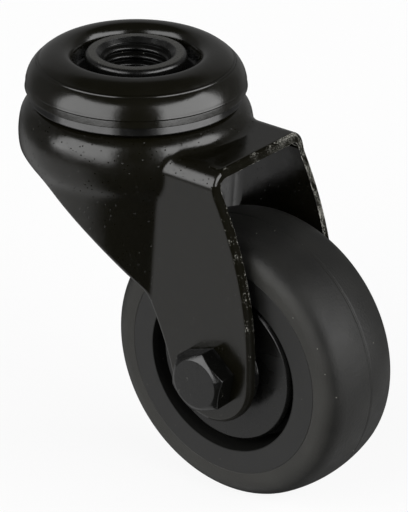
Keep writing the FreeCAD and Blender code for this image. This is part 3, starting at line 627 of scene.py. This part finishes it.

# Moulded polypropylene. The eye sees a matte, very dark grey with the even grain of the mould,
# drawn at 0.3 mm and so coarser than real, and dust. Close round the guard it carries painted
# shade:
# its specular level is lowered there, standing in for the shade in the gap.
centre_plastic, tree, place = new_material("matte_black_moulded_polypropylene")
from_axle = add_node(tree, "VectorMath", {
    0: place, 1: (1.0, 0.0, 1.0), 2: (-trail * MM, 0.0, axle_drop * MM),
}, operation="MULTIPLY_ADD")
reach = add_node(tree, "VectorMath", {0: from_axle}, operation="LENGTH").outputs["Value"]
# Painted shade: inside the shaded radius, round the guard, the specular level drops to 0.05.
shine_with_painted_gap_shade = add_node(tree, "MapRange", {"Value": reach, "From Min": shaded_radius * MM,
                                    "From Max": open_radius * MM, "To Min": 0.05,
                                    "To Max": 0.5})
dust = specks(tree, place, cell=1.6, radius=0.12, share=0.3)
shader = add_node(tree, "BsdfPrincipled", {
    "IOR": 1.46,
    "Base Color": tint(tree, dust, "#141413", "#4d4c48"),
    "Roughness": grain(tree, place, 2.0, low=0.34, high=0.46),
    "Specular IOR Level": shine_with_painted_gap_shade,
    "Normal": relief(tree, (grain(tree, place, 0.3), 0.006)),
})
add_node(tree, "OutputMaterial", {"Surface": shader})
dress("wheel_centre", centre_plastic, 0.06)


# Tyre: black rubber moulded onto the centre, with softly rounded shoulders and a flat rim on its
# side. Its tread carries the fine line where the mould's halves met.
tyre_side = 8.85
shoulder_begins, shoulder_ends = 7.8, 8.84

# Moulded rubber. The eye sees a matte charcoal, as rubber scatters most of the light, with a soft
# bloom, light scuffs and a paler flat side. Its dust is drawn 0.2 mm wide so that it shows.
rubber, tree, place = new_material("matte_black_moulded_rubber")
spot = add_node(tree, "SeparateXYZ", {0: place})
aside = add_node(tree, "Math", {0: spot.outputs["Y"]}, operation="ABSOLUTE")
side_bloom = add_node(tree, "MapRange", {"Value": aside, "From Min": shoulder_begins * MM,
                                         "From Max": shoulder_ends * MM, "To Max": 0.12})
dust = specks(tree, place, cell=1.7, radius=0.12, share=0.3)
for pale in (grain(tree, place, 7.0, high=0.04, detail=5.0), side_bloom):
    dust = add_node(tree, "Math", {0: dust, 1: pale}, operation="ADD")
shader = add_node(tree, "BsdfPrincipled", {
    "IOR": 1.52,
    "Base Color": tint(tree, dust, "#161615", "#6c6b66"),
    "Roughness": grain(tree, place, 5.0, low=0.44, high=0.56),
    "Specular IOR Level": 0.2,
    "Normal": relief(tree, (grain(tree, place, 0.5, detail=4.0), 0.02),
                     (grain(tree, place, 3.0), 0.01)),
})
add_node(tree, "OutputMaterial", {"Surface": shader})

half_tyre = [
    (24.93, 0.1), (24.93, 0.17), (24.99, 0.3),  # beside the parting line
    *arc(-1.0, 0.0, 26.0, 1.2, 13.15, 8), *arc(20.618, 5.05, 3.8, 16, 87, 14),  # tread, shoulder
    (20.5, tyre_side), (19.6, tyre_side), (19.4, 8.84), (19.36, 8.81), (19.35, 8.6),  # side
    (19.35, 6.05), (17.4, 5.4),  # down to the wheel centre
]
parting_line = (24.995, 0.0)
lathe("tyre_moulded", [
    parting_line, *half_tyre, *[(radius, -along) for radius, along in reversed(half_tyre)],
], evenly(240), on_axle, rubber, "tyre", "wheel")


# Camera: where the photo was taken from, as fitted to the outlines of the rim, wheel and bolt.
turn, lift, roll = (math.radians(angle) for angle in (38.44, 25.741, 0.433))
distance, target = 566.7, Vector((14.598, 0.599, -34.455))
back = Vector((math.sin(turn) * math.cos(lift), -math.cos(turn) * math.cos(lift), math.sin(lift)))
right = Vector((math.cos(turn), math.sin(turn), 0))
up = back.cross(right)
axes = Matrix((right * math.cos(roll) + up * math.sin(roll),
               up * math.cos(roll) - right * math.sin(roll), back)).transposed()
camera = bpy.data.objects.new("camera", bpy.data.cameras.new("camera"))
camera.data.sensor_width = 36.0
camera.data.lens = 231.17
camera.matrix_world = Matrix.Translation((target + back * distance) * MM) @ axes.to_4x4()
bpy.context.scene.collection.objects.link(camera)
bpy.context.scene.camera = camera
bpy.context.scene.view_settings.view_transform = "Standard"


# Studio: a soft world with a bright panel on either side of the camera's line, a dim one low down
# and two faint ones further round. The camera itself sees plain white in place of them.
background_light = 0.04
world = bpy.data.worlds.new("studio")
bpy.context.scene.world = world
world.use_nodes = True
tree = world.node_tree
tree.nodes.clear()
ray = add_node(tree, "TexCoord").outputs["Generated"]
across, toward = (add_node(tree, "VectorMath", {0: ray, 1: line},
                           operation="DOT_PRODUCT").outputs["Value"]
                  for line in (right, (math.sin(turn), -math.cos(turn), 0)))
off_line = add_node(tree, "Math", {0: across}, operation="ABSOLUTE")


def sine(degrees):
    """The height of a direction that is lifted by this angle."""
    return math.sin(math.radians(degrees))


# How far a direction is turned from the camera's line and lifted, each with what it makes of
# degrees.
right_or_left = add_node(tree, "Math", {0: across, 1: toward}, operation="ARCTAN2"), math.radians
either_side = add_node(tree, "Math", {0: off_line, 1: toward}, operation="ARCTAN2"), math.radians
lifted = add_node(tree, "SeparateXYZ", {0: ray}).outputs["Z"], sine

# Each panel has its strength and its soft edges, dark at the first angle and lit at the second.
panels = [
    (3.9, [(right_or_left, -90, -80), (right_or_left, -16, -26), (lifted, -12, -1),
           (lifted, 49, 44)]),
    (4.7, [(right_or_left, 22, 31), (right_or_left, 101, 91), (lifted, -12, -1),
           (lifted, 48, 42)]),
    (0.63, [(either_side, 28, 64), (either_side, 165, 118), (lifted, -13, -22)]),
    (0.1, [(either_side, 80, 95), (lifted, -22, -10), (lifted, 52, 44)]),
    (0.1, [(either_side, 128, 150), (lifted, -22, -5), (lifted, 52, 38)]),
]
light_level = background_light
for panel_level, edges in panels:
    for (source, scale), dark, lit in edges:
        edge = add_node(tree, "MapRange", {"Value": source, "From Min": scale(dark),
                                           "From Max": scale(lit)},
                        interpolation_type="SMOOTHSTEP")
        panel_level = add_node(tree, "Math", {0: edge, 1: panel_level}, operation="MULTIPLY")
    light_level = add_node(tree, "Math", {0: panel_level, 1: light_level}, operation="ADD")
seen = add_node(tree, "LightPath").outputs["Is Camera Ray"]
level = add_node(tree, "Mix", {"Factor": seen, "A": light_level, "B": 1.0}, data_type="FLOAT")
light = add_node(tree, "Background", {"Color": (1, 1, 1, 1), "Strength": level})
add_node(tree, "OutputWorld", {"Surface": light})


# Floor: white paper under the wheel. The camera sees it nearly as a white light, so that it ends
# in the background, and the castor's soft shadow stays on it.
bpy.ops.mesh.primitive_plane_add(size=4.0, location=(0, 0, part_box("tyre")[0].z))
floor = bpy.context.object
floor.name = "floor"
floor.visible_glossy = False
paper, tree, _ = new_material("white_paper_floor")
matte = add_node(tree, "BsdfDiffuse", {"Color": linear("#d2d2d2")})
glow = add_node(tree, "Emission", {"Color": (1, 1, 1, 1), "Strength": 1.06})
seen = add_node(tree, "LightPath").outputs["Is Camera Ray"]
glow_share = add_node(tree, "Math", {0: seen, 1: 0.84}, operation="MULTIPLY")
surface = add_node(tree, "MixShader", {0: glow_share, 1: matte, 2: glow})
add_node(tree, "OutputMaterial", {"Surface": surface})
floor.data.materials.append(paper)
